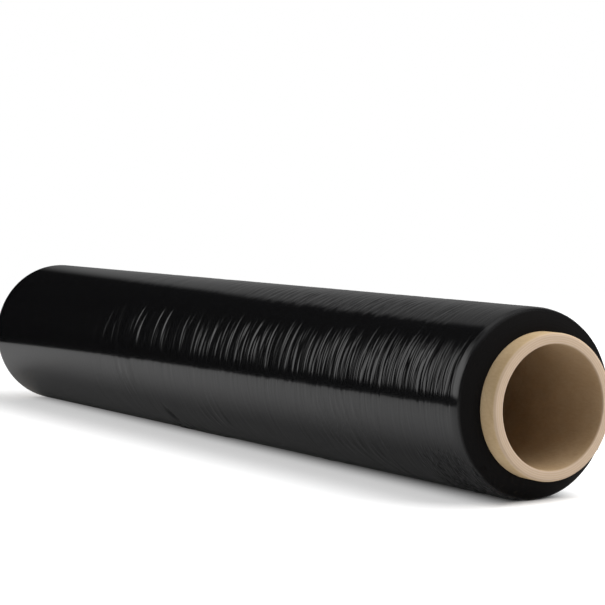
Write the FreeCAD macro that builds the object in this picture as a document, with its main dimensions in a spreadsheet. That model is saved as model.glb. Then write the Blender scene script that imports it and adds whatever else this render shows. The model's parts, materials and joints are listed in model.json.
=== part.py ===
# Stretch wrap roll: one length of black stretch film wound on a spiral paper tube.
# The roll lies on its side. X runs along its axis, Z is up, and the origin is on the surface
# that it rests on, under its middle. Lengths are in millimetres and angles in degrees.
import FreeCAD, Part
import math
import os
import Sketcher

SIZES = [
    ("film_width", 450.0, "width of the outer turns of film"),
    ("film_diameter", 79.0, "across the wound film"),
    ("bore_diameter", 51.0, "inside of the paper tube"),
    ("tube_wall", 4.5, "thickness of the paper tube"),
    ("tube_stand_out", 9.0, "how far the tube stands out of the film at each end"),
    ("tube_edge_round", 1.2, "radius worn on the outer edge of each end of the tube"),
    ("mouth_chamfer", 0.5, "wear on the inner edge of each end of the tube"),
    ("end_rise", 5.5, "how far the innermost turns stand past the outermost"),
    ("shoulder_round", 2.4, "radius of the corner where an end meets the outer turns"),
    ("turn_bands", 5.0, "bands of turns that show on each end"),
    ("turn_lip", 0.3, "how far each band stands out of the next one outside it"),
    ("smooth_far", 125.0, "stretch without gathers at the far end"),
    ("smooth_near", 5.0, "stretch without gathers at the near end"),
    ("gather_count", 15.0, "gathers round the roll"),
    ("gather_gap_ratio", 0.91, "each gather's gap over the one before it"),
    ("gather_height", 0.3, "how far the tallest gathers stand out"),
    ("gather_crest", 0.8, "where a gather is tallest, as a share of its gap"),
    ("loose_end_lift", 0.55, "how far the cut edge of the last turn stands off"),
    ("loose_end_root", 0.1, "how deep the last turn's wedge is rooted in the film"),
    ("loose_end_angle", 122.0, "place of the cut edge, from the top towards the back"),
    ("loose_end_sweep", 7.0, "angle over which the last turn lifts to its cut edge"),
    ("loose_end_inset", 4.0, "gap between the cut edge's ends and the roll's shoulders"),
    ("flat_width", 12.0, "width of the flat that the soft film takes where it rests"),
]
GATHER_SHARES = (1.0, 0.5, 0.8, 0.35, 0.9, 0.6)
TUBE_CORNER_STEPS = 2
FILM_CORNER_STEPS = 3

document = FreeCAD.newDocument("StretchWrapRoll")


def make_sheet():
    sheet = document.addObject("Spreadsheet::Sheet", "Sizes")
    for row, (alias, value, meaning) in enumerate(SIZES, start=1):
        sheet.set(f"A{row}", meaning)
        sheet.set(f"B{row}", str(value))
        sheet.setAlias(f"B{row}", alias)
    document.recompute()
    return sheet


sizes = make_sheet()

# Lengths that several features share, as expressions on the sheet.
BORE = "(Sizes.bore_diameter / 2)"
TUBE_OUTER = "(Sizes.bore_diameter / 2 + Sizes.tube_wall)"
FILM_OUTER = "(Sizes.film_diameter / 2)"
HALF_WIDTH = "(Sizes.film_width / 2)"
HALF_TUBE = "(Sizes.film_width / 2 + Sizes.end_rise + Sizes.tube_stand_out)"
AXIS_HEIGHT = f"sqrt({FILM_OUTER}^2 - (Sizes.flat_width / 2)^2)"


def new_body(label):
    """Makes a body whose X axis is the roll's axis."""
    body = document.addObject("PartDesign::Body", label)
    body.Label = label
    body.setExpression("Placement.Base.z", AXIS_HEIGHT)
    return body


def new_sketch(body, role, label):
    sketch = body.newObject("Sketcher::SketchObject", label)
    plane = next(item for item in body.Origin.OriginFeatures if item.Role == role)
    sketch.AttachmentSupport = [(plane, "")]
    sketch.MapMode = "FlatFace"
    return sketch


def value_of(sketch, expression):
    return float(sketch.evalExpression(expression))


def pin_corner(sketch, edge, across, up):
    """Ties the start of a line to two expressions, its distances along the sketch's axes."""
    for kind, expression in (("DistanceX", across), ("DistanceY", up)):
        distance = value_of(sketch, expression)
        number = sketch.addConstraint(Sketcher.Constraint(kind, edge, 1, distance))
        sketch.setExpression(f"Constraints[{number}]", expression)


def add_outline(sketch, corners):
    """Draws a closed outline through corners, each a pair of expressions."""
    points = [
        FreeCAD.Vector(value_of(sketch, across), value_of(sketch, up), 0)
        for across, up in corners
    ]
    followers = points[1:] + points[:1]
    lines = [Part.LineSegment(start, end) for start, end in zip(points, followers)]
    edges = sketch.addGeometry(lines, False)
    for number, edge in enumerate(edges):
        following = edges[(number + 1) % len(edges)]
        sketch.addConstraint(Sketcher.Constraint("Coincident", edge, 2, following, 1))
        pin_corner(sketch, edge, *corners[number])


def round_corner(side, end, top, radius, steps):
    """Corners along a quarter round from an end face up to an outer surface."""
    corners = []
    for step in range(steps + 1):
        turn = f"({step} / {steps} * 90 deg)"
        across = f"{side}({end} - {radius} * (1 - cos({turn})))"
        up = f"{top} - {radius} * (1 - sin({turn}))"
        corners.append((across, up))
    return corners


def revolve(body, sketch, label):
    """Turns a section a full turn about the roll's axis, which is the sketch's own X axis."""
    feature = body.newObject("PartDesign::Revolution", label)
    feature.Profile = sketch
    feature.ReferenceAxis = (sketch, ["H_Axis"])
    feature.Angle = 360.0
    sketch.Visibility = False
    document.recompute()
    return feature


# The tube: paper plies wound in a spiral, glued, and cut square to length. Handling has worn
# the outer edges of its ends round and taken the sharpness off the mouths of its bore.
def mouth_edges(shape, radius):
    """Names of the round edges of a radius."""
    return [
        f"Edge{number}"
        for number, edge in enumerate(shape.Edges, start=1)
        if isinstance(edge.Curve, Part.Circle)
        and math.isclose(edge.Curve.Radius, radius, abs_tol=1e-6)
    ]


def make_core_tube():
    body = new_body("core_tube")
    section = new_sketch(body, "XZ_Plane", "tube_section")
    corner = (HALF_TUBE, TUBE_OUTER, "Sizes.tube_edge_round", TUBE_CORNER_STEPS)
    near_edge = round_corner("", *corner)
    far_edge = round_corner("-", *corner)
    bore_line = [(f"-{HALF_TUBE}", BORE), (HALF_TUBE, BORE)]
    add_outline(section, bore_line + near_edge + far_edge[::-1])
    tube = revolve(body, section, "paper_tube")
    mouths = body.newObject("PartDesign::Chamfer", "worn_mouths")
    mouths.Base = (tube, mouth_edges(tube.Shape, value_of(section, BORE)))
    mouths.setExpression("Size", "Sizes.mouth_chamfer")
    document.recompute()
    return body


# One end of the film. Winding tension narrows the film a little more with each turn, so each
# turn ends short of the one inside it. The end is square to the axis at the tube and slopes
# back towards the outside, where it rounds over. Its turns show as bands, each a lip that
# stands out of the next.
def end_corners(side):
    """Corners of one end's outline, from the tube outwards. side is "-" or an empty string."""
    depth = f"({FILM_OUTER} - Sizes.shoulder_round - {TUBE_OUTER})"
    bands = round(sizes.turn_bands)
    corners = []
    for band in range(bands):
        inner = f"({band} / {bands})"
        outer = f"({band + 1} / {bands})"
        foot = f"({HALF_WIDTH} + Sizes.end_rise * (1 - {inner}^2))"
        lip = f"({HALF_WIDTH} + Sizes.end_rise * (1 - {outer}^2) + Sizes.turn_lip)"
        corners.append((f"{side}{foot}", f"{TUBE_OUTER} + {depth} * {inner}"))
        corners.append((f"{side}{lip}", f"{TUBE_OUTER} + {depth} * {outer}"))
    shoulder = (HALF_WIDTH, FILM_OUTER, "Sizes.shoulder_round", FILM_CORNER_STEPS)
    return corners + round_corner(side, *shoulder)


# The outer turns: smooth at the far end, then gathered. At each gather the film swells
# gradually and pinches in again. The gathers crowd together towards the near end, and
# neighbours differ in height.
def gather_corners():
    """Corners along the outer turns, from the far end to the near end."""
    count = round(sizes.gather_count)
    ratio = "Sizes.gather_gap_ratio"
    start = f"(Sizes.smooth_far - {HALF_WIDTH})"
    run = "(Sizes.film_width - Sizes.smooth_far - Sizes.smooth_near - Sizes.shoulder_round)"
    first_gap = f"({run} * (1 - {ratio}) / (1 - {ratio}^{count}))"
    corners = []
    for number in range(count):
        foot = f"({start} + {run} * (1 - {ratio}^{number}) / (1 - {ratio}^{count}))"
        gap = f"({first_gap} * {ratio}^{number})"
        share = GATHER_SHARES[number % len(GATHER_SHARES)]
        crest = f"{FILM_OUTER} + Sizes.gather_height * {share}"
        corners.append((foot, FILM_OUTER))
        corners.append((f"{foot} + {gap} * Sizes.gather_crest", crest))
    corners.append((f"{start} + {run}", FILM_OUTER))
    return corners


# The loose end: the last turn lifts slightly and ends in a cut edge, which runs along the roll.
def make_loose_end(body):
    sketch = new_sketch(body, "YZ_Plane", "loose_end_section")
    root = f"({FILM_OUTER} - Sizes.loose_end_root)"
    crest = f"({FILM_OUTER} + Sizes.loose_end_lift)"
    edge_turn = "(Sizes.loose_end_angle * 1 deg)"
    start_turn = "((Sizes.loose_end_angle - Sizes.loose_end_sweep) * 1 deg)"
    add_outline(
        sketch,
        [
            (f"{root} * sin({start_turn})", f"{root} * cos({start_turn})"),
            (f"{root} * sin({edge_turn})", f"{root} * cos({edge_turn})"),
            (f"{crest} * sin({edge_turn})", f"{crest} * cos({edge_turn})"),
        ],
    )
    pad = body.newObject("PartDesign::Pad", "loose_end")
    pad.Profile = sketch
    pad.Midplane = True
    margin = "(Sizes.shoulder_round + Sizes.loose_end_inset)"
    pad.setExpression("Length", f"Sizes.film_width - 2 * {margin}")
    sketch.Visibility = False
    document.recompute()


# The flat spot: the film is soft, so the roll's own weight presses it flat where it rests.
def make_flat_spot(body):
    sketch = new_sketch(body, "XZ_Plane", "flat_spot_section")
    below = f"-{FILM_OUTER} - Sizes.gather_height - Sizes.flat_width"
    add_outline(
        sketch,
        [
            (f"-{HALF_TUBE}", below),
            (HALF_TUBE, below),
            (HALF_TUBE, f"-{AXIS_HEIGHT}"),
            (f"-{HALF_TUBE}", f"-{AXIS_HEIGHT}"),
        ],
    )
    volume_before = body.Tip.Shape.Volume
    pocket = body.newObject("PartDesign::Pocket", "flat_spot")
    pocket.Profile = sketch
    pocket.Type = "ThroughAll"
    pocket.Midplane = True
    sketch.Visibility = False
    document.recompute()
    if pocket.Shape.Volume >= volume_before:
        raise RuntimeError("the flat spot took nothing off the film")


# The film: hundreds of turns wound tight on the tube and on each other, so they make one body.
def make_film_roll():
    body = new_body("film_roll")
    section = new_sketch(body, "XZ_Plane", "turns_section")
    add_outline(section, end_corners("-") + gather_corners() + end_corners("")[::-1])
    revolve(body, section, "wound_turns")
    make_loose_end(body)
    make_flat_spot(body)
    return body


def check_document():
    for item in document.Objects:
        if "Invalid" in item.State or "Error" in item.State:
            raise RuntimeError(f"{item.Label} failed: {item.State}")


def write_part(body):
    shape = body.Shape
    if shape.isNull() or not shape.isValid():
        raise RuntimeError(f"{body.Label} has no sound shape")
    shape.exportStep(f"parts/{body.Label}.step")
    print(f"{body.Label}: {len(shape.Solids)} solid, {shape.Volume / 1000:.1f} cm3")


bodies = [make_core_tube(), make_film_roll()]
document.recompute()
check_document()
os.makedirs("parts", exist_ok=True)
for finished in bodies:
    write_part(finished)
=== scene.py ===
import json
import math
import bmesh
import bpy
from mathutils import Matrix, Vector, noise


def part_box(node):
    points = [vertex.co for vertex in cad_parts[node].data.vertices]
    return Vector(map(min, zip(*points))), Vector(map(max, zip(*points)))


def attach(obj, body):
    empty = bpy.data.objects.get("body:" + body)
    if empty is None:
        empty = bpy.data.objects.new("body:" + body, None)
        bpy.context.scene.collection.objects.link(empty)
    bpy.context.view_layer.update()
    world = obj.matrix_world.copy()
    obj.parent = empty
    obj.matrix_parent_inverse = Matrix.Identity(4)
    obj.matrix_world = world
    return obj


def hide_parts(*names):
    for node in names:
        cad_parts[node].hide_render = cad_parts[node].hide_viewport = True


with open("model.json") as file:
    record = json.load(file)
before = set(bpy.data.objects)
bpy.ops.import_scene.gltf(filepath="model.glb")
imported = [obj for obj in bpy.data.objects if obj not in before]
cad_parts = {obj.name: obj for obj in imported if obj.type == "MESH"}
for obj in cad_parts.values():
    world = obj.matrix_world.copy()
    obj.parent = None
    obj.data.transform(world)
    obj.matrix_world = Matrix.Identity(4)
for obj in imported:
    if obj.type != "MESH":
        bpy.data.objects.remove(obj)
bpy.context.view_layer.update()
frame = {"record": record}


# The paper tube. Strips of kraft paper are wound in a spiral on a mandrel, glued ply on ply,
# and cut square to length with a saw. Handling wears the outer edges of the ends round.
bore = next(mount for mount in frame["record"]["mounts"] if mount["name"] == "core_bore")
AXIS_HEIGHT = bore["pos_m"][2]
BORE_RADIUS = bore["dims"]["r_mm"] / 1000
TUBE_END, TUBE_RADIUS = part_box("core_tube")[1][:2]
TUBE_SIDES = 160
TUBE_EDGE_ROUND = 0.0014
TUBE_MOUTH_ROUND = 0.0005
OUTER_WALL_REACH = 0.012
OUTER_WALL_STEP = 0.0008
BORE_STEP = 0.004
PLY_THICKNESS = 0.00045
PLY_PITCH = 0.105
PLY_STEP = 0.00006
PLY_STEP_ROOT = 0.001
SAW_WANDER = 0.00012
SAW_REACH = 0.002
SAW_WAVES = 2.2
SAW_GRAINS_PER_METRE = 900
SAW_WAVE_SHARE, SAW_GRAIN_SHARE, SAW_MEAN_SHARE = 0.8, 0.2, 0.6
NEAR_CUT_PLACE = 7

KRAFT_PALE = "#D6BD97"
KRAFT_DEEP = "#BC9F77"
KRAFT_SEAM = "#AF9069"
KRAFT_SAWN = "#C5B09B"
# Painted shade: a darker tint multiplied over the bore's inside.
KRAFT_BORE_SHADE = "#DEDADA"


def steps_between(start, end, step):
    """Evenly spaced values from start to end, both included, about a step apart."""
    count = max(1, round(abs(end - start) / step))
    return [start + (end - start) * number / count for number in range(count + 1)]


def arc(centre, radius, start, end, count):
    """Points (along, out) on a round, from one angle to another, in degrees from the axis."""
    points = []
    for number in range(count + 1):
        turn = math.radians(start + (end - start) * number / count)
        points.append((centre[0] + radius * math.cos(turn), centre[1] + radius * math.sin(turn)))
    return points


def spin_section(section, sides):
    """A closed ring spun from a closed section of points (along, out) about the roll's axis."""
    mesh = bmesh.new()
    corners = [mesh.verts.new((along, 0, AXIS_HEIGHT + out)) for along, out in section]
    edges = [mesh.edges.new((corners[number - 1], corners[number])) for number in range(len(corners))]
    bmesh.ops.spin(
        mesh, geom=corners + edges, cent=(0, 0, AXIS_HEIGHT), axis=(1, 0, 0),
        angle=math.tau, steps=sides, use_merge=True,
    )
    bmesh.ops.recalc_face_normals(mesh, faces=mesh.faces)
    return mesh


def place_of(vertex):
    """A vertex's place along the axis, its distance from the axis and its angle from the top."""
    across, up = vertex.co.y, vertex.co.z - AXIS_HEIGHT
    return vertex.co.x, math.hypot(across, up), math.atan2(across, up)


def put_at(vertex, along, out, turn):
    vertex.co = (along, out * math.sin(turn), AXIS_HEIGHT + out * math.cos(turn))


def blend_in(start, end, value):
    """A smooth rise from 0 to 1 as value goes from start to end, whichever is the higher."""
    share = min(max((value - start) / (end - start), 0), 1)
    return share * share * (3 - 2 * share)


def as_piece(mesh, name, material):
    """Turns a bmesh into a smooth object in the scene, at the origin."""
    data = bpy.data.meshes.new(name)
    mesh.to_mesh(data)
    mesh.free()
    data.shade_smooth()
    data.materials.append(material)
    piece = bpy.data.objects.new(name, data)
    bpy.context.scene.collection.objects.link(piece)
    return piece


mouth = (TUBE_END - TUBE_MOUTH_ROUND, BORE_RADIUS + TUBE_MOUTH_ROUND)
edge = (TUBE_END - TUBE_EDGE_ROUND, TUBE_RADIUS - TUBE_EDGE_ROUND)
near_end = arc(mouth, TUBE_MOUTH_ROUND, -90, 0, 3)
near_end += [(TUBE_END, out) for out in steps_between(mouth[1], edge[1], PLY_THICKNESS)[1:-1]]
near_end += arc(edge, TUBE_EDGE_ROUND, 0, 90, 7)
near_end += [
    (along, TUBE_RADIUS)
    for along in steps_between(edge[0], TUBE_END - OUTER_WALL_REACH, OUTER_WALL_STEP)[1:]
]
far_end = [(-along, out) for along, out in reversed(near_end)]
bore_wall = [(along, BORE_RADIUS) for along in steps_between(-mouth[0], mouth[0], BORE_STEP)]
tube_mesh = spin_section(near_end + far_end + bore_wall[1:-1], TUBE_SIDES)
for vertex in tube_mesh.verts:
    along, out, turn = place_of(vertex)
    if out > BORE_RADIUS + PLY_THICKNESS:
        # The edge of the outer ply is a low step that climbs the tube in a spiral.
        phase = (along / PLY_PITCH + turn / math.tau) % 1
        out += PLY_STEP * (phase - 1) * blend_in(TUBE_RADIUS - PLY_STEP_ROOT, TUBE_RADIUS, out)
    wave = noise.noise(Vector((
        math.cos(turn) * SAW_WAVES, math.sin(turn) * SAW_WAVES, math.copysign(NEAR_CUT_PLACE, along)
    )))
    grain = noise.noise(vertex.co * SAW_GRAINS_PER_METRE)
    depth = SAW_WANDER * (SAW_WAVE_SHARE * wave + SAW_GRAIN_SHARE * grain + SAW_MEAN_SHARE)
    along -= math.copysign(depth, along) * blend_in(TUBE_END - SAW_REACH, TUBE_END, abs(along))
    put_at(vertex, along, out, turn)


def linear(hex_colour):
    """A colour written as sRGB hex, as the linear values that a shader takes."""
    channels = [int(hex_colour[place:place + 2], 16) / 255 for place in (1, 3, 5)]
    return [
        value / 12.92 if value <= 0.04045 else ((value + 0.055) / 1.055) ** 2.4
        for value in channels
    ] + [1.0]


def add_node(tree, kind, settings=None, inputs=None):
    """Adds a node. Settings are its own properties. Inputs are values, or what to link: a
    socket, or a node, which stands for its first output."""
    node = tree.nodes.new(kind)
    for name, value in (settings or {}).items():
        setattr(node, name, value)
    for name, value in (inputs or {}).items():
        if isinstance(value, bpy.types.Node):
            value = value.outputs[0]
        if isinstance(value, bpy.types.NodeSocket):
            tree.links.new(value, node.inputs[name])
        else:
            node.inputs[name].default_value = value
    return node


def new_material(name):
    """A material with no nodes yet, and its node tree."""
    material = bpy.data.materials.new(name)
    material.use_nodes = True
    material.node_tree.nodes.clear()
    return material, material.node_tree


# Kraft paper, glued and dried: matt, with short fibres in mixed browns, faint lines where the
# plies show on the sawn ends, and a thin seam that climbs the tube in a spiral.
# Single fibres are too fine to show, so each fleck stands for a bundle of them.
FIBRE_LENGTH = 0.0023810
FIBRE_WIDTH = 0.00090909
CLOUD_SIZE = 0.016667
FIBRE_TONE, CLOUD_TONE, LEAST_TONE = 0.45, 0.55, 0.05
BROWN_STOPS = (0.3, 0.75)
SEAM_WIDTH = 0.00126
SEAM_STRENGTH = 0.2
# Where the painted bore shade fades out, by distance from the axis.
BORE_SHADE_ENDS = (BORE_RADIUS + 0.0001, BORE_RADIUS + 0.0004)
SAWN_FACE_STARTS = (TUBE_END - 0.0012, TUBE_END - 0.0003)
PLY_LINE_STRENGTH = 0.35
KRAFT_ROUGHNESS = (0.75, 0.95)
KRAFT_BUMP = 0.0001
# Blender's wave texture goes through this many radians in each unit of its own space.
WAVE_RADIANS = 20
kraft, tree = new_material("kraft_paper")
place = add_node(tree, "ShaderNodeTexCoord").outputs["Object"]
centred = add_node(
    tree, "ShaderNodeMapping", {}, {"Vector": place, "Location": (0, 0, -AXIS_HEIGHT)}
)
fibre_place = add_node(
    tree, "ShaderNodeMapping", {},
    {"Vector": centred, "Scale": (1 / FIBRE_LENGTH, 1 / FIBRE_WIDTH, 1 / FIBRE_WIDTH)},
)
fibres = add_node(
    tree, "ShaderNodeTexNoise", {},
    {"Vector": fibre_place, "Scale": 1.0, "Detail": 5.0, "Roughness": 0.65},
)
clouds = add_node(
    tree, "ShaderNodeTexNoise", {}, {"Vector": centred, "Scale": 1 / CLOUD_SIZE, "Detail": 3.0}
)
tone = add_node(
    tree, "ShaderNodeMath", {"operation": "MULTIPLY_ADD"}, {0: fibres, 1: FIBRE_TONE, 2: LEAST_TONE}
)
tone = add_node(
    tree, "ShaderNodeMath", {"operation": "MULTIPLY_ADD"}, {0: clouds, 1: CLOUD_TONE, 2: tone}
)
browns = add_node(tree, "ShaderNodeValToRGB", {}, {"Fac": tone})
for stop, position, brown in zip(
    browns.color_ramp.elements, BROWN_STOPS, (KRAFT_DEEP, KRAFT_PALE)
):
    stop.position = position
    stop.color = linear(brown)
# The spiral seam: how far round the tube a point is, plus how far along, in turns of the ply.
spots = add_node(tree, "ShaderNodeSeparateXYZ", {}, {"Vector": centred}).outputs
turn = add_node(tree, "ShaderNodeMath", {"operation": "ARCTAN2"}, {0: spots["Y"], 1: spots["Z"]})
turn_share = add_node(tree, "ShaderNodeMath", {"operation": "MULTIPLY"}, {0: turn, 1: 1 / math.tau})
phase = add_node(
    tree, "ShaderNodeMath", {"operation": "MULTIPLY_ADD"},
    {0: spots["X"], 1: 1 / PLY_PITCH, 2: turn_share},
)
phase = add_node(tree, "ShaderNodeMath", {"operation": "FRACT"}, {0: phase})
seam = add_node(
    tree, "ShaderNodeMapRange", {"interpolation_type": "SMOOTHSTEP"},
    {"Value": phase, "From Min": 0.0, "From Max": SEAM_WIDTH / PLY_PITCH,
     "To Min": SEAM_STRENGTH, "To Max": 0.0},
)
colour = add_node(
    tree, "ShaderNodeMix", {"data_type": "RGBA"}, {"Factor": seam, 6: browns, 7: linear(KRAFT_SEAM)}
).outputs[2]
# Painted shade: the bore's inside is tinted darker, for the shade deep inside the tube.
spoke = add_node(tree, "ShaderNodeCombineXYZ", {}, {"Y": spots["Y"], "Z": spots["Z"]})
radius = add_node(
    tree, "ShaderNodeVectorMath", {"operation": "LENGTH"}, {0: spoke}
).outputs["Value"]
painted_bore_shade = add_node(
    tree, "ShaderNodeMapRange", {},
    {"Value": radius, "From Min": BORE_SHADE_ENDS[0], "From Max": BORE_SHADE_ENDS[1],
     "To Min": 1.0, "To Max": 0.0},
)
colour = add_node(
    tree, "ShaderNodeMix", {"data_type": "RGBA", "blend_type": "MULTIPLY"},
    {"Factor": painted_bore_shade, 6: colour, 7: linear(KRAFT_BORE_SHADE)},
).outputs[2]
# Ply lines on the sawn ends. Single plies are too fine to show, so each line stands for two.
ply_lines = add_node(
    tree, "ShaderNodeTexWave", {"wave_type": "RINGS", "rings_direction": "X"},
    {"Vector": centred, "Scale": math.tau / (2 * PLY_THICKNESS * WAVE_RADIANS),
     "Distortion": 0.6, "Detail": 2.0, "Detail Scale": 0.4},
).outputs["Fac"]
from_middle = add_node(tree, "ShaderNodeMath", {"operation": "ABSOLUTE"}, {0: spots["X"]})
on_end = add_node(
    tree, "ShaderNodeMapRange", {},
    {"Value": from_middle, "From Min": SAWN_FACE_STARTS[0], "From Max": SAWN_FACE_STARTS[1]},
)
colour = add_node(
    tree, "ShaderNodeMix", {"data_type": "RGBA"}, {"Factor": on_end, 6: colour, 7: linear(KRAFT_SAWN)}
).outputs[2]
line_share = add_node(tree, "ShaderNodeMath", {"operation": "MULTIPLY"}, {0: ply_lines, 1: on_end})
line_share = add_node(
    tree, "ShaderNodeMath", {"operation": "MULTIPLY"}, {0: line_share, 1: PLY_LINE_STRENGTH}
)
colour = add_node(
    tree, "ShaderNodeMix", {"data_type": "RGBA"},
    {"Factor": line_share, 6: colour, 7: linear(KRAFT_SEAM)},
).outputs[2]
rough = add_node(
    tree, "ShaderNodeMapRange", {},
    {"Value": fibres, "To Min": KRAFT_ROUGHNESS[0], "To Max": KRAFT_ROUGHNESS[1]},
)
relief = add_node(tree, "ShaderNodeMath", {"operation": "SUBTRACT"}, {0: fibres, 1: line_share})
bump = add_node(
    tree, "ShaderNodeBump", {}, {"Height": relief, "Strength": 0.35, "Distance": KRAFT_BUMP}
)
paper = add_node(
    tree, "ShaderNodeBsdfPrincipled", {},
    {"Base Color": colour, "Roughness": rough, "Normal": bump, "IOR": 1.45,
     "Specular IOR Level": 0.3},
)
add_node(tree, "ShaderNodeOutputMaterial", {}, {"Surface": paper})

tube = as_piece(tube_mesh, "paper_tube", kraft)
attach(tube, "root")
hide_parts("core_tube")


# The film. One length of black stretch film, a fiftieth of a millimetre thick, is wound tight
# on the tube in hundreds of turns. The stretch gathers it in rings that crowd together towards
# the near end, and each turn ends a little short of the one inside it.
FILM_RADIUS = 0.0395
FILM_HALF_WIDTH = 0.225
FILM_SIDES = 80
FILM_TAPER_START = 0.2231
FILM_TAPER_RUN = 0.003
FILM_TAPER = 0.00035
FILM_TAPER_POINTS = 10
FILM_CORNER_ROUND = 0.003
FILM_CORNER_SWEPT_TO = 32
FILM_CORNER_POINTS = 9
FILM_INNER_REACH = 0.15
FILM_INNER_STEP = 0.1
TURN_BAND = 0.0004
SMOOTH_UNTIL = -FILM_HALF_WIDTH + 0.115
SMOOTH_RING_STEP = 0.003
FINE_RINGS_FROM = SMOOTH_UNTIL - 0.02
RING_STEP = 0.00036
RINGS_PER_GATHER = 8

# The gathers: how close together they are, how they wander, and where they are weaker.
GATHER_RUN = 0.32
GATHER_SPACING = 0.0068
GATHER_CROWDING = 1.35
GATHER_SLOPE = 0.055
GATHER_WAVES = 1.7
FINE_GATHERS = 1.9
FINE_WAVES = 2.6
FINE_SHARE = 0.4
MEANDERS_PER_GATHER = 0.21
MEANDER_WAVES = 1.3
MEANDER_DEPTH = 1.6
PATCHES_PER_GATHER = 0.12
PATCH_WAVES = 1.1
PATCH_DEPTH = 0.5
RIDGE_HEIGHT = 0.0001
RIDGE_SHARE = 0.17
FINE_RIDGE_SHARE = 0.7
GATHERS_RISE = (-0.02, 0.03)
GATHERS_GROW = (0.02, 0.2)
FIRST_GATHER_SHARE = 0.7
TAUT_EDGE = (-73.41, -93.46)
TAUT_WANDER = 17.19
TAUT_SHARE = 0.25
TOP_FACING = (0.58, 0.8)
TOP_SHARE = 0.5

# Pulls slant round the lower front. Crinkles lie under the near end and along the top. Edges
# are pairs of places along the roll, or turns from the top in degrees, outside then inside.
SLANT = 0.013
PULL_SPACING = 0.006
PULL_HEIGHT = 0.0003
PULL_WAVES, PULL_DRIFT = 0.9, 14
PULL_PATCHES_PER_METRE, PULL_PATCH_WAVES = 17, 1.4
PULL_PATCH_RISE = (0.0, 0.3)
PULL_EDGE = (-89.41, -109.46)
PULLS_RISE = (0.01, 0.05)
LOW_CRINKLE = {
    "height": 0.0005, "spacing": 0.0035, "waves": 5, "place": 3,
    "along": [(0.186, 0.206)], "turn": [(-112, -126.32)],
}
TOP_CRINKLE = {
    "height": 0.0006, "spacing": 0.0032, "waves": 6, "place": 17,
    "along": [(-0.02, 0.06), (0.215, 0.19)], "turn": [(-10, -18), (-39, -32)],
}

DENT_ALONG = -0.033
DENT_TURN = math.radians(-137)
DENT_WIDTH = 0.002
DENT_LENGTH = 0.004
DENT_DEPTH = 0.001
LOOSE_END_TURN = math.radians(122)
LOOSE_END_SWEEP = math.radians(7)
LOOSE_END_LIFT = 0.0005
LOOSE_END_EDGE = math.radians(0.3)
RELIEF_FADES = (FILM_RADIUS - 0.0035, FILM_RADIUS - 0.0005)
END_STARTS = FILM_HALF_WIDTH + 0.002
TURN_RELIEF = 0.00013
TURN_BANDS_PER_METRE, TURN_BAND_WAVES = 3300, 0.2
TURN_RIPPLES_PER_METRE, TURN_RIPPLE_WAVES, TURN_RIPPLE_SHARE = 900, 1.5, 0.6

# Each noise is read at a place of its own, so that no two are alike.
MEANDER_PLACE, FINE_PLACE, PATCH_PLACE = 11, 40, 80
PULL_PLACE, PULL_PATCH_PLACE, NEAR_FACE_PLACE = 5, 31, 5

FILM_BLACK = "#151516"
FILM_CUT_EDGE = "#161515"


def gather_spacing(along):
    """Distance from one gather to the next, at a place along the roll."""
    share = min(max((along - SMOOTH_UNTIL) / GATHER_RUN, 0), 1)
    return GATHER_SPACING * math.exp(-GATHER_CROWDING * share)


def gathers_passed(along):
    """How many gathers lie between the smooth stretch and a place along the roll."""
    share = (along - SMOOTH_UNTIL) / GATHER_RUN
    growth = math.exp(GATHER_CROWDING * share) - 1
    return GATHER_RUN / (GATHER_CROWDING * GATHER_SPACING) * growth


def round_noise(place, turn, waves, shift=0):
    """Noise that closes on itself round the roll. More waves make it change faster round it."""
    return noise.noise(Vector((place, math.cos(turn) * waves, math.sin(turn) * waves + shift)))


def patch(value, edges):
    """1 within a patch and 0 past its edges, which are pairs of values (outside, inside)."""
    return math.prod(blend_in(outside, inside, value) for outside, inside in edges)


def gathers(along, turn):
    """How far the gathered film stands off the round, at a place along and round the roll."""
    passed = gathers_passed(along)
    beyond = along - SMOOTH_UNTIL
    meander = round_noise(passed * MEANDERS_PER_GATHER, turn, MEANDER_WAVES, MEANDER_PLACE)
    coarse = round_noise(passed + meander * MEANDER_DEPTH, turn, GATHER_WAVES)
    fine = round_noise(passed * FINE_GATHERS + FINE_PLACE, turn, FINE_WAVES)
    patches = round_noise(passed * PATCHES_PER_GATHER + PATCH_PLACE, turn, PATCH_WAVES)
    taut = blend_in(*TAUT_EDGE, math.degrees(turn) - TAUT_WANDER * patches)
    strength = blend_in(*GATHERS_RISE, beyond) * (1 + PATCH_DEPTH * patches)
    strength *= FIRST_GATHER_SHARE + (1 - FIRST_GATHER_SHARE) * blend_in(*GATHERS_GROW, beyond)
    strength *= 1 - (1 - TAUT_SHARE) * taut
    strength *= 1 - (1 - TOP_SHARE) * blend_in(*TOP_FACING, math.cos(turn))
    ripple = gather_spacing(along) * GATHER_SLOPE * (coarse + FINE_SHARE * fine)
    # Where the film has folded on itself, a thin ridge runs round the roll.
    ridges = math.exp(-(coarse / RIDGE_SHARE) ** 2)
    ridges += FINE_RIDGE_SHARE * math.exp(-(fine / RIDGE_SHARE) ** 2)
    return strength * (ripple + RIDGE_HEIGHT * ridges)


def pulls(along, turn):
    """Low down, thin ridges slant round the roll in patches where the film ran on askew."""
    slanted = (along + SLANT * turn) / PULL_SPACING
    pull = noise.noise(Vector((slanted, turn * PULL_WAVES + PULL_PLACE, along * PULL_DRIFT)))
    patches = noise.noise(
        Vector((along * PULL_PATCHES_PER_METRE, turn * PULL_PATCH_WAVES, PULL_PATCH_PLACE))
    )
    strength = blend_in(*PULL_PATCH_RISE, patches) * blend_in(*PULLS_RISE, along - SMOOTH_UNTIL)
    strength *= blend_in(*PULL_EDGE, math.degrees(turn))
    return PULL_HEIGHT * strength * math.exp(-(pull / RIDGE_SHARE) ** 2)


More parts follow.
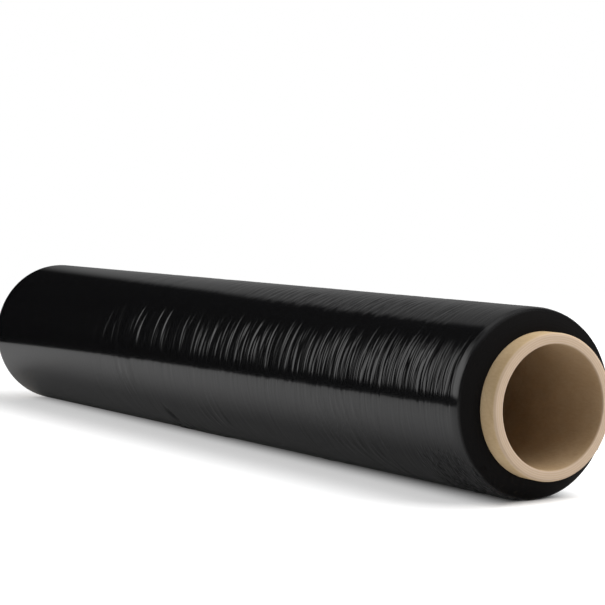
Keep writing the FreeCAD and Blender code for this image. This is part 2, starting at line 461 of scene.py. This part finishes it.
def crinkles(along, turn, crinkle):
    """Short lines pressed into the film within one patch of it."""
    slanted = (along + SLANT * turn) / crinkle["spacing"]
    lines = abs(noise.noise(Vector((slanted, turn * crinkle["waves"], crinkle["place"]))))
    inside = patch(along, crinkle["along"]) * patch(math.degrees(turn), crinkle["turn"])
    return -crinkle["height"] * inside * lines


def film_rings():
    """Places along the roll for the mesh's rings, close enough together for the gathers."""
    places = []
    along = -FILM_TAPER_START
    while along < FILM_TAPER_START:
        places.append(along)
        if along < FINE_RINGS_FROM:
            along += SMOOTH_RING_STEP
        else:
            along += min(RING_STEP, gather_spacing(along) / RINGS_PER_GATHER)
    return places + [FILM_TAPER_START]


def film_end():
    """The near end's section: a taper, a tight corner, then a low dome up to the tube."""
    section = [
        (FILM_TAPER_START + FILM_TAPER_RUN * share, FILM_RADIUS - FILM_TAPER * share ** 2)
        for share in steps_between(0, 1, 1 / FILM_TAPER_POINTS)[1:]
    ]
    tilt = math.atan(2 * FILM_TAPER / FILM_TAPER_RUN)
    taper_along, taper_out = section[-1]
    centre = (
        taper_along - FILM_CORNER_ROUND * math.sin(tilt),
        taper_out - FILM_CORNER_ROUND * math.cos(tilt),
    )
    section += arc(
        centre, FILM_CORNER_ROUND, 90 - math.degrees(tilt), FILM_CORNER_SWEPT_TO, FILM_CORNER_POINTS
    )[1:]
    foot_along, foot_out = section[-1]
    depth = foot_out - TUBE_RADIUS
    rise = depth * math.tan(math.radians(FILM_CORNER_SWEPT_TO)) / 2
    for out in steps_between(foot_out, TUBE_RADIUS, TURN_BAND)[1:]:
        share = (out - TUBE_RADIUS) / depth
        section.append((foot_along + rise * (1 - share ** 2), out))
    return section


near_section = film_end()
film_section = [(along, FILM_RADIUS) for along in film_rings()] + near_section
film_section += [
    (along, TUBE_RADIUS)
    for along in steps_between(FILM_INNER_REACH, -FILM_INNER_REACH, FILM_INNER_STEP)
]
film_section += [(-along, out) for along, out in reversed(near_section)]
film_mesh = spin_section(film_section, FILM_SIDES)
for vertex in film_mesh.verts:
    along, out, turn = place_of(vertex)
    if math.isclose(out, TUBE_RADIUS, abs_tol=1e-6):
        continue
    # The two lines of the mesh either side of the loose end close up into its thin edge.
    past_edge = turn - LOOSE_END_TURN
    if abs(past_edge) < math.tau / FILM_SIDES:
        turn = LOOSE_END_TURN if past_edge <= 0 else LOOSE_END_TURN + LOOSE_END_EDGE
    relief = gathers(along, turn) + pulls(along, turn)
    relief += crinkles(along, turn, LOW_CRINKLE) + crinkles(along, turn, TOP_CRINKLE)
    lift = (turn - LOOSE_END_TURN + LOOSE_END_SWEEP) / LOOSE_END_SWEEP
    if 0 < lift <= 1:
        relief += LOOSE_END_LIFT * lift
    relief *= blend_in(*RELIEF_FADES, out)
    dent_across = ((along - DENT_ALONG) / DENT_WIDTH) ** 2
    dent_round = ((turn - DENT_TURN) * FILM_RADIUS / DENT_LENGTH) ** 2
    relief -= DENT_DEPTH * math.exp(-dent_across - dent_round)
    if abs(along) > END_STARTS:
        band = noise.noise(Vector((
            out * TURN_BANDS_PER_METRE, math.copysign(NEAR_FACE_PLACE, along), turn * TURN_BAND_WAVES
        )))
        ripple = round_noise(out * TURN_RIPPLES_PER_METRE, turn, TURN_RIPPLE_WAVES)
        along += math.copysign(TURN_RELIEF * (band + TURN_RIPPLE_SHARE * ripple), along)
    put_at(vertex, along, out + relief, turn)
    # The soft film settles to a flat where it lies on the table.
    vertex.co.z = max(vertex.co.z, 0)

# Linear low-density polyethylene, dyed black and drawn thin: glossy and a little wavy, with a
# fine grain of hairline gathers, and duller where the cut edges of its turns show on the ends.
# The finest gathers are too thin to show, so each hairline stands for several.
HAIRLINE_WIDTH = 0.00066667
HAIRLINE_LENGTH = 0.018182
TURN_LINE_SPACING = 0.0008
LINE_BUMP = 0.00008
CUT_EDGES_START = (FILM_HALF_WIDTH + 0.0018, FILM_HALF_WIDTH + 0.003)
CRINKLE_SIZE = (0.0016129, 0.0041667, 0.0052632)
CRINKLE_SLANT = math.radians(25)
CRINKLE_BUMP = 0.0016
CRINKLED = (("X", 0.186, 0.208), ("Z", -0.013, -0.024), ("Y", -0.002, -0.01))
SHEET_ROUGHNESS, EDGE_ROUGHNESS = 0.12, 0.45
SHEET_GLOSS, EDGE_GLOSS = 0.5, 0.02
polythene, tree = new_material("black_stretch_film")
place = add_node(tree, "ShaderNodeTexCoord").outputs["Object"]
centred = add_node(
    tree, "ShaderNodeMapping", {}, {"Vector": place, "Location": (0, 0, -AXIS_HEIGHT)}
)
hair_place = add_node(
    tree, "ShaderNodeMapping", {},
    {"Vector": centred, "Scale": (1 / HAIRLINE_WIDTH, 1 / HAIRLINE_LENGTH, 1 / HAIRLINE_LENGTH)},
)
hairlines = add_node(
    tree, "ShaderNodeTexNoise", {}, {"Vector": hair_place, "Scale": 1.0, "Detail": 2.0}
)
# The film's edges are far too fine to show, so each line on the ends stands for many turns.
turn_lines = add_node(
    tree, "ShaderNodeTexWave", {"wave_type": "RINGS", "rings_direction": "X"},
    {"Vector": centred, "Scale": math.tau / (TURN_LINE_SPACING * WAVE_RADIANS),
     "Distortion": 1.2, "Detail": 3.0, "Detail Scale": 0.8},
).outputs["Fac"]
spots = add_node(tree, "ShaderNodeSeparateXYZ", {}, {"Vector": centred}).outputs
from_middle = add_node(tree, "ShaderNodeMath", {"operation": "ABSOLUTE"}, {0: spots["X"]})
on_end = add_node(
    tree, "ShaderNodeMapRange", {},
    {"Value": from_middle, "From Min": CUT_EDGES_START[0], "From Max": CUT_EDGES_START[1]},
)
lines = add_node(
    tree, "ShaderNodeMix", {"data_type": "FLOAT"}, {"Factor": on_end, 2: hairlines, 3: turn_lines}
)
bump = add_node(
    tree, "ShaderNodeBump", {}, {"Height": lines, "Strength": 0.2, "Distance": LINE_BUMP}
)
# Short crinkles low on the near end, on the side away from the loose end.
crinkle_place = add_node(
    tree, "ShaderNodeMapping", {},
    {"Vector": centred, "Rotation": (0, 0, CRINKLE_SLANT),
     "Scale": [1 / size for size in CRINKLE_SIZE]},
)
crinkle_lines = add_node(
    tree, "ShaderNodeTexNoise", {"noise_type": "RIDGED_MULTIFRACTAL"},
    {"Vector": crinkle_place, "Scale": 1.0, "Detail": 1.0},
)
crinkled = 1.0
for axis, outside, inside in CRINKLED:
    within = add_node(
        tree, "ShaderNodeMapRange", {"interpolation_type": "SMOOTHSTEP"},
        {"Value": spots[axis], "From Min": outside, "From Max": inside},
    )
    crinkled = add_node(tree, "ShaderNodeMath", {"operation": "MULTIPLY"}, {0: crinkled, 1: within})
bump = add_node(
    tree, "ShaderNodeBump", {},
    {"Height": crinkle_lines, "Strength": crinkled, "Distance": CRINKLE_BUMP, "Normal": bump},
)
rough, gloss = [
    add_node(
        tree, "ShaderNodeMapRange", {},
        {"Value": on_end, "To Min": of_sheet, "To Max": of_cut_edges},
    )
    for of_sheet, of_cut_edges in ((SHEET_ROUGHNESS, EDGE_ROUGHNESS), (SHEET_GLOSS, EDGE_GLOSS))
]
black = add_node(
    tree, "ShaderNodeMix", {"data_type": "RGBA"},
    {"Factor": on_end, 6: linear(FILM_BLACK), 7: linear(FILM_CUT_EDGE)},
).outputs[2]
sheet = add_node(
    tree, "ShaderNodeBsdfPrincipled", {},
    {"Base Color": black, "Roughness": rough, "Normal": bump, "IOR": 1.51,
     "Specular IOR Level": gloss},
)
add_node(tree, "ShaderNodeOutputMaterial", {}, {"Surface": sheet})

film = as_piece(film_mesh, "stretch_film", polythene)
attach(film, "root")
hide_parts("film_roll")


# The table: a plain pale surface that takes the roll's soft shadow. Glow lifts it to white for
# the camera, and away from the roll it is plain white to the camera and in the gloss. It ends
# off camera, in front of the roll, and the film's gloss shows the dim room beyond that edge.
TABLE_REACH = 6.0
TABLE_EDGE_TURN = math.radians(220)
TABLE_EDGE_DISTANCE = 0.388
TABLE_COLOUR = "#E8E8E8"
TABLE_GLOW = 0.46
TABLE_GLOW_AWAY = 0.2
WHITE_FROM, WHITE_PAST = 0.45, 1.3
# Painted shadow: the strip along the roll where the glow is held back, and the extra glow further
# out.
AWAY_ACROSS = (0.03, 0.09)
PAINTED_SHADOW_ACROSS = (0.0, 0.026)
PAINTED_SHADOW_WIDENING = 0.02
PAINTED_SHADOW_ALONG = (0.222, 0.236)
outward = Vector((math.cos(TABLE_EDGE_TURN), math.sin(TABLE_EDGE_TURN), 0))
sideways = Vector((-outward.y, outward.x, 0))
table_mesh = bmesh.new()
table_mesh.faces.new([
    table_mesh.verts.new(outward * (TABLE_EDGE_DISTANCE - back) + sideways * side)
    for back, side in (
        (0, -TABLE_REACH), (0, TABLE_REACH), (2 * TABLE_REACH, TABLE_REACH),
        (2 * TABLE_REACH, -TABLE_REACH),
    )
])
bmesh.ops.recalc_face_normals(table_mesh, faces=table_mesh.faces)

# A pale laminate top: matt, so that it shows the shadow and nothing else.
pale, tree = new_material("pale_table")
rays = add_node(tree, "ShaderNodeLightPath").outputs
seen = add_node(
    tree, "ShaderNodeMath", {"operation": "MAXIMUM"},
    {0: rays["Is Camera Ray"], 1: rays["Is Transmission Ray"]},
)
seen_or_in_gloss = add_node(
    tree, "ShaderNodeMath", {"operation": "MAXIMUM"}, {0: seen, 1: rays["Is Glossy Ray"]}
)
place = add_node(tree, "ShaderNodeTexCoord").outputs["Object"]
distance = add_node(
    tree, "ShaderNodeVectorMath", {"operation": "LENGTH"}, {0: place}
).outputs["Value"]
far = add_node(
    tree, "ShaderNodeMapRange", {"interpolation_type": "SMOOTHSTEP"},
    {"Value": distance, "From Min": WHITE_FROM, "From Max": WHITE_PAST},
)
far = add_node(tree, "ShaderNodeMath", {"operation": "MULTIPLY"}, {0: far, 1: seen_or_in_gloss})
spots = add_node(tree, "ShaderNodeSeparateXYZ", {}, {"Vector": place}).outputs
from_middle = add_node(tree, "ShaderNodeMath", {"operation": "ABSOLUTE"}, {0: spots["X"]})
across = add_node(tree, "ShaderNodeMath", {"operation": "ABSOLUTE"}, {0: spots["Y"]})
across = add_node(
    tree, "ShaderNodeMath", {"operation": "MULTIPLY_ADD"},
    {0: spots["X"], 1: -PAINTED_SHADOW_WIDENING, 2: across},
)
beside, past_end, away = [
    add_node(
        tree, "ShaderNodeMapRange", {"interpolation_type": "SMOOTHSTEP"},
        {"Value": value, "From Min": low, "From Max": high, "To Max": share},
    )
    for value, (low, high), share in (
        (across, PAINTED_SHADOW_ACROSS, 1.0), (from_middle, PAINTED_SHADOW_ALONG, 1.0),
        (across, AWAY_ACROSS, TABLE_GLOW_AWAY),
    )
]
# Painted shadow: along the roll the table's glow is held back in a strip that widens towards the near
# end and stops past it, so a dark contact shadow is painted where the two touch. A little more glow
# comes in further out.
out_of_painted_shadow = add_node(tree, "ShaderNodeMath", {"operation": "MAXIMUM"}, {0: beside, 1: past_end})
glow = add_node(
    tree, "ShaderNodeMath", {"operation": "MULTIPLY_ADD"}, {0: out_of_painted_shadow, 1: TABLE_GLOW, 2: away}
)
glow = add_node(tree, "ShaderNodeMath", {"operation": "MULTIPLY"}, {0: glow, 1: seen})
matt = add_node(tree, "ShaderNodeBsdfDiffuse", {}, {"Color": linear(TABLE_COLOUR)})
glowing = add_node(tree, "ShaderNodeEmission", {}, {"Strength": glow})
near_shader = add_node(tree, "ShaderNodeAddShader", {}, {0: matt, 1: glowing})
white = add_node(tree, "ShaderNodeEmission", {}, {"Strength": 1.0})
table_top = add_node(tree, "ShaderNodeMixShader", {}, {"Fac": far, 1: near_shader, 2: white})
add_node(tree, "ShaderNodeOutputMaterial", {}, {"Surface": table_top})
as_piece(table_mesh, "table", pale)


# The studio's lamp: a large square soft box, high behind the near end. It lights matt things
# only, because the room's own soft box and backdrop are what the film's gloss shows.
LAMP_TURN = math.radians(50)
LAMP_RISE = math.radians(50)
LAMP_DISTANCE = 1.6
LAMP_SIZE = 1.8
LAMP_RADIANCE = 3.3
lamp = bpy.data.lights.new("back_soft_lamp", "AREA")
lamp.shape = "SQUARE"
lamp.size = LAMP_SIZE
lamp.energy = LAMP_RADIANCE * math.pi * LAMP_SIZE ** 2
toward_lamp = Vector((
    math.cos(LAMP_RISE) * math.cos(LAMP_TURN), math.cos(LAMP_RISE) * math.sin(LAMP_TURN),
    math.sin(LAMP_RISE),
))
lamp_stand = bpy.data.objects.new("back_soft_lamp", lamp)
lamp_stand.location = toward_lamp * LAMP_DISTANCE
lamp_stand.rotation_euler = toward_lamp.to_track_quat("Z", "Y").to_euler()
lamp_stand.visible_camera = False
lamp_stand.visible_glossy = False
bpy.context.scene.collection.objects.link(lamp_stand)

# The room round the roll: even soft light on matt things, white to the camera. In the gloss of
# the film it is a dim room with a soft box in front, a pale backdrop behind and a dim ceiling.
ROOM_LIGHT = 0.37
ROOM_IN_GLOSS = 0.002
BACKDROP_LEVEL = 0.2
BACKDROP_FACING = (0.392, 0.840, 0.374)
BACKDROP_RISES, BACKDROP_SIDE = (-0.015, 0.055), (-0.3, -0.6)
SOFT_BOX_LEVEL = 1.7
SOFT_BOX_LEAN = 0.45
SOFT_BOX_STARTS = (math.radians(34), math.radians(52))
SOFT_BOX_ENDS = (math.radians(110), math.radians(85))
SOFT_BOX_FOOT, SOFT_BOX_HEAD = (0.04, 0.11), (0.85, 0.5)
CEILING_LEVEL = 0.35
CEILING_STARTS = (0.7, 0.9)
world = bpy.data.worlds.new("studio")
bpy.context.scene.world = world
world.use_nodes = True
tree = world.node_tree
tree.nodes.clear()
rays = add_node(tree, "ShaderNodeLightPath").outputs
toward = add_node(tree, "ShaderNodeTexCoord").outputs["Generated"]
parts = add_node(tree, "ShaderNodeSeparateXYZ", {}, {"Vector": toward}).outputs
facing = add_node(
    tree, "ShaderNodeVectorMath", {"operation": "DOT_PRODUCT"}, {0: toward, 1: BACKDROP_FACING}
).outputs["Value"]
minus_x, minus_y = [
    add_node(tree, "ShaderNodeMath", {"operation": "MULTIPLY"}, {0: parts[axis], 1: -1.0})
    for axis in ("X", "Y")
]
azimuth = add_node(tree, "ShaderNodeMath", {"operation": "ARCTAN2"}, {0: minus_y, 1: minus_x})
leaning = add_node(
    tree, "ShaderNodeMath", {"operation": "MULTIPLY_ADD"},
    {0: parts["Z"], 1: SOFT_BOX_LEAN, 2: azimuth},
)
# Each thing in the room shines where the direction is within all its limits (outside, inside).
gloss_level = ROOM_IN_GLOSS
for level, limits in (
    (BACKDROP_LEVEL, ((facing, BACKDROP_RISES), (parts["X"], BACKDROP_SIDE))),
    (SOFT_BOX_LEVEL, (
        (leaning, SOFT_BOX_STARTS), (azimuth, SOFT_BOX_ENDS), (parts["Z"], SOFT_BOX_FOOT),
        (parts["Z"], SOFT_BOX_HEAD),
    )),
    (CEILING_LEVEL, ((parts["Z"], CEILING_STARTS),)),
):
    shining = level
    for value, (outside, inside) in limits:
        within = add_node(
            tree, "ShaderNodeMapRange", {"interpolation_type": "SMOOTHSTEP"},
            {"Value": value, "From Min": outside, "From Max": inside},
        )
        shining = add_node(
            tree, "ShaderNodeMath", {"operation": "MULTIPLY"}, {0: shining, 1: within}
        )
    gloss_level = add_node(
        tree, "ShaderNodeMath", {"operation": "ADD"}, {0: gloss_level, 1: shining}
    )
seen = add_node(
    tree, "ShaderNodeMath", {"operation": "MAXIMUM"},
    {0: rays["Is Camera Ray"], 1: rays["Is Transmission Ray"]},
)
room = add_node(
    tree, "ShaderNodeMix", {"data_type": "FLOAT"},
    {"Factor": rays["Is Glossy Ray"], 2: ROOM_LIGHT, 3: gloss_level},
)
level = add_node(
    tree, "ShaderNodeMix", {"data_type": "FLOAT"}, {"Factor": seen, 2: room, 3: 1.0}
)
background = add_node(
    tree, "ShaderNodeBackground", {}, {"Color": (1.0, 1.0, 1.0, 1.0), "Strength": level}
)
add_node(tree, "ShaderNodeOutputWorld", {}, {"Surface": background})
bpy.context.scene.view_settings.view_transform = "Standard"


# The camera: low beside the near end, level but for a small tilt down, with a long lens.
CAMERA_PLACE = (0.8692, -0.5092, 0.1318)
CAMERA_TILT = math.radians(3.61)
CAMERA_TURN = math.radians(58.17)
PHOTO_WIDTH = 605
FOCAL_PIXELS = 2022.6
lens = bpy.data.cameras.new("camera")
lens.sensor_fit = "HORIZONTAL"
lens.lens = lens.sensor_width * FOCAL_PIXELS / PHOTO_WIDTH
camera = bpy.data.objects.new("camera", lens)
camera.location = CAMERA_PLACE
camera.rotation_euler = (math.pi / 2 - CAMERA_TILT, 0, CAMERA_TURN)
bpy.context.scene.collection.objects.link(camera)
bpy.context.scene.camera = camera
